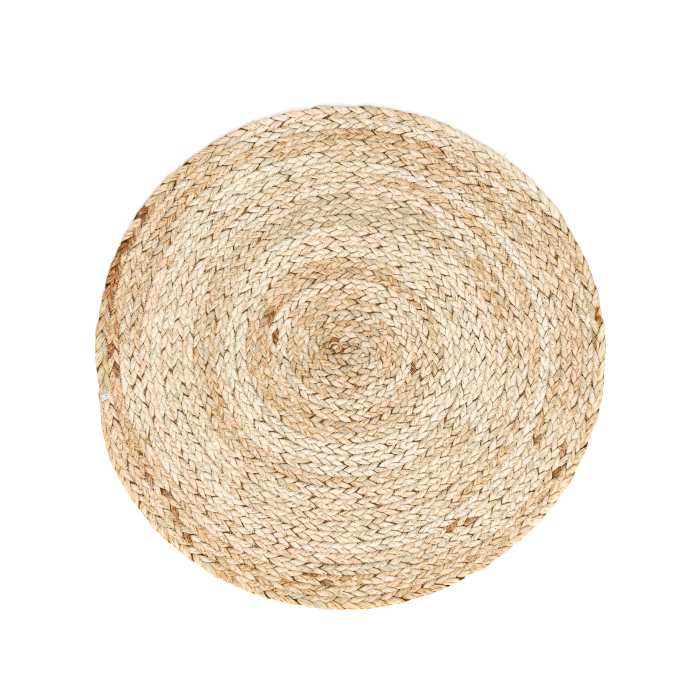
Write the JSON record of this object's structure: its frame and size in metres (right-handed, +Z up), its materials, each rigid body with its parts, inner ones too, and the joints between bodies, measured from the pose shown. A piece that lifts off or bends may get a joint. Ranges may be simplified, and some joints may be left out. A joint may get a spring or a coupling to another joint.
{
  "type": "corn husk placemat",
  "caption": "Round table mat of plaited corn husk, coiled flat in a spiral and sewn edge to edge, with its tail tapered into the rim.",
  "frame": {"origin": "on the surface that the mat lies on, under the middle of its outline", "axes": "+Z up, out of the top of the mat; +X and +Y in the surface, with the tip of the plait's tail near -X"},
  "size_m": [0.3812, 0.377, 0.005],
  "materials": {
    "corn_husk": "dried corn husk, matt to satin, cream to straw with honey and rust strands"
  },
  "bodies": {
    "root": {"mat": "corn_husk"}
  },
  "joints": []
}
